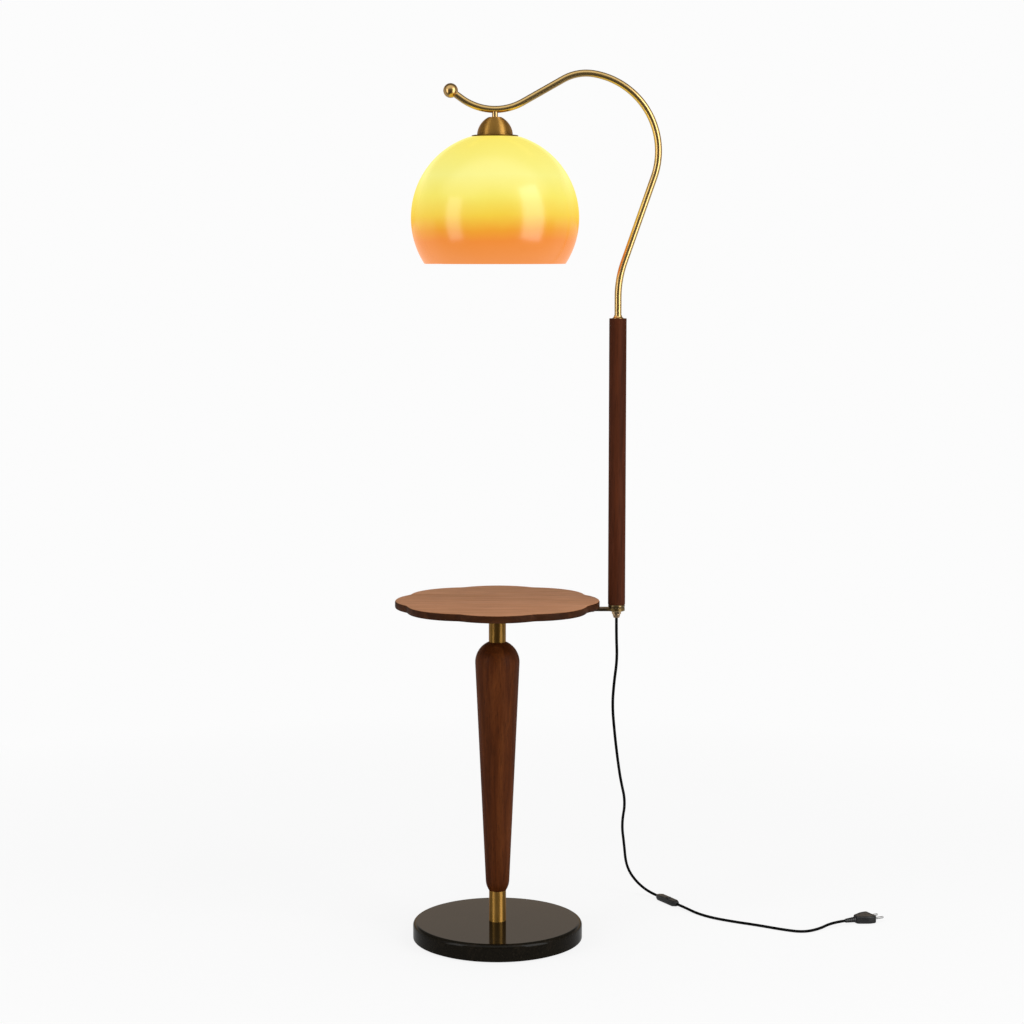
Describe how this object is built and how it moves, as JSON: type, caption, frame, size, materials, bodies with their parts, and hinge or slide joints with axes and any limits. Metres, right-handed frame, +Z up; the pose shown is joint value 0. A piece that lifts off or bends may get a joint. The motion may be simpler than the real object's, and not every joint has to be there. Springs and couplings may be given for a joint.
{
  "type": "shelf floor lamp",
  "caption": "Floor lamp with a scalloped wooden side table on a turned leg and stone foot, and a brass swan-neck arm, swivelling on a side post, that carries an open glass globe shade.",
  "frame": {"origin": "middle of the foot's underside on the floor, on the axis of the leg", "axes": "+Z up along the leg, +X from the leg towards the post, -Y towards the viewer of the picture"},
  "size_m": [0.8821, 0.4555, 1.5208],
  "materials": {
    "black_stone": "polished",
    "felt": "matt",
    "steel": "satin",
    "bracket_bronze": "dark satin",
    "satin_brass": "brushed",
    "arm_brass": "polished",
    "leg_walnut": "satin lacquer",
    "table_walnut": "satin lacquer",
    "post_walnut": "satin lacquer",
    "nylon": "matt",
    "opal_glass": "opal, glossy outside",
    "bulb_glass": "frosted",
    "bulb_metal": "bright",
    "holder_black": "moulded",
    "contact_brass": "bright",
    "insert_ceramic": "matt",
    "cord_black": "smooth",
    "switch_black": "moulded",
    "lead_white": "smooth"
  },
  "bodies": {
    "stand": {"base_pad": "felt", "base_disc": "black_stone", "base_nut": "steel", "base_washer": "steel", "tie_rod": "steel", "lower_collar": "satin_brass", "leg": "leg_walnut", "upper_collar": "satin_brass", "table_flange": "steel", "flange_screws": "steel", "table_top": "table_walnut", "post_bracket": "bracket_bronze", "bracket_screws": "steel", "mains_cord_upper": "cord_black", "mains_cord_lower": "cord_black", "switch_base": "switch_black", "switch_cover": "switch_black", "switch_contacts": "contact_brass", "switch_screws": "steel", "plug_body": "switch_black", "plug_pins": "bulb_metal"},
    "lamp_head": {"swivel_washers": "nylon", "post_foot_cap": "satin_brass", "wood_post": "post_walnut", "post_tube": "steel", "gland_nut": "satin_brass", "cord_grip": "satin_brass", "arm_collar": "arm_brass", "arm_tube": "arm_brass", "ball_finial": "arm_brass", "shade_stem": "satin_brass", "stem_nipple": "steel", "stem_locknut": "steel", "shade_cup": "satin_brass", "shade_plate": "satin_brass", "glass_shade": "opal_glass", "lampholder_body": "holder_black", "lampholder_insert": "insert_ceramic", "lampholder_sleeve": "contact_brass", "lampholder_contact": "contact_brass", "shade_ring": "holder_black", "bulb_cap": "bulb_metal", "bulb_globe": "bulb_glass", "inner_lead": "lead_white"},
    "rocker": {"switch_rocker": "switch_black"}
  },
  "joints": [
    {"name": "head_swivel", "type": "hinge", "parent": "stand", "child": "lamp_head", "pos_m": [0.2085, 0, 0.591], "axis": [0, 0, 1], "range_deg": [-170, 170]},
    {"name": "rocker_tip", "type": "hinge", "parent": "stand", "child": "rocker", "pos_m": [0.317, 0.221, 0.0062], "axis": [0.866, 0.5, 0], "range_deg": [0, 16]}
  ]
}
